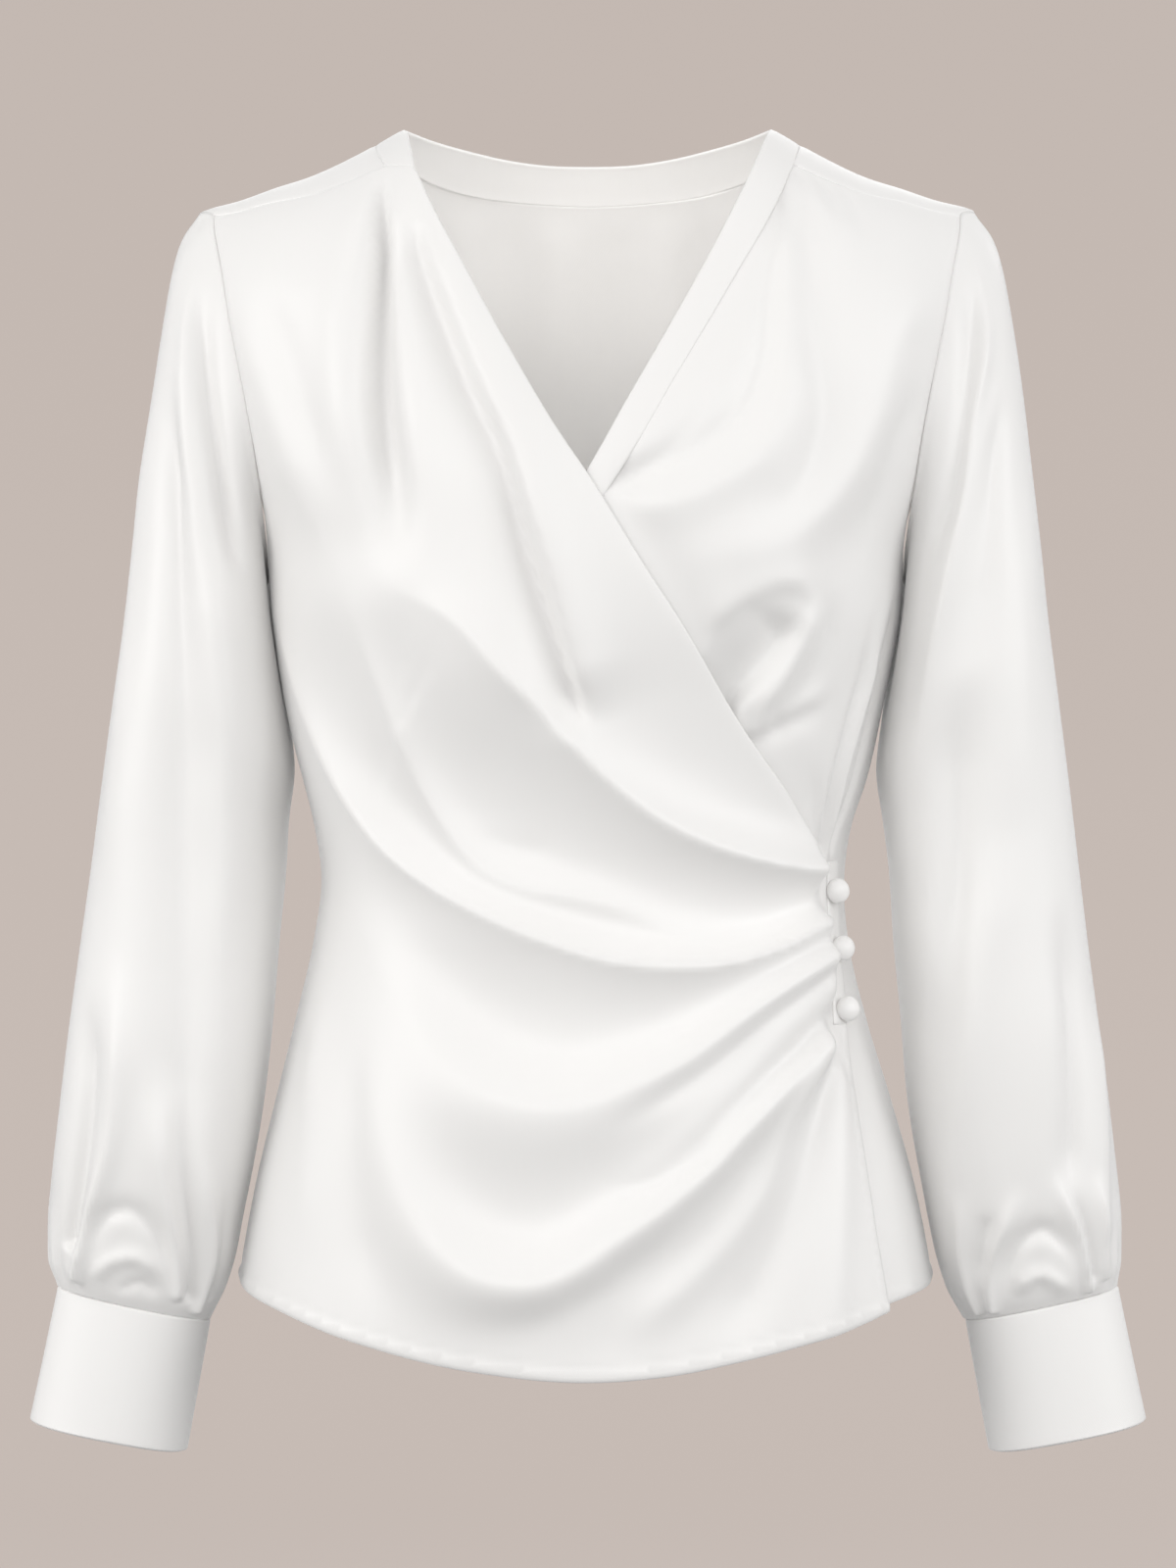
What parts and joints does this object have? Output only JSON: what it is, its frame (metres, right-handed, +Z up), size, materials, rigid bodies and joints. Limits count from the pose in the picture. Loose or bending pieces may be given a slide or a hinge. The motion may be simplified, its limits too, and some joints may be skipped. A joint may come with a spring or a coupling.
{
  "type": "wrap top",
  "caption": "Long-sleeved satin wrap top, hollow as worn, with a draped overlap closed at the side by small covered buttons, a narrow neckband and deep plain cuffs.",
  "frame": {"origin": "middle of the neck at shoulder height, where the wearer's shoulders hold the top up", "axes": "+X to the wearer's left, +Y to the back, +Z up; the front faces -Y"},
  "size_m": [0.5548, 0.2341, 0.6582],
  "materials": {
    "satin": "ivory white satin, soft broad sheen",
    "covered_button": "the same satin drawn tight over a small dome"
  },
  "bodies": {
    "root": {"back": "satin", "front_right": "satin", "front_left": "satin", "neckband": "satin", "placket": "satin", "button_1": "covered_button", "button_2": "covered_button", "button_3": "covered_button", "sleeve_right": "satin", "sleeve_left": "satin", "cuff_right": "satin", "cuff_left": "satin"}
  },
  "joints": []
}
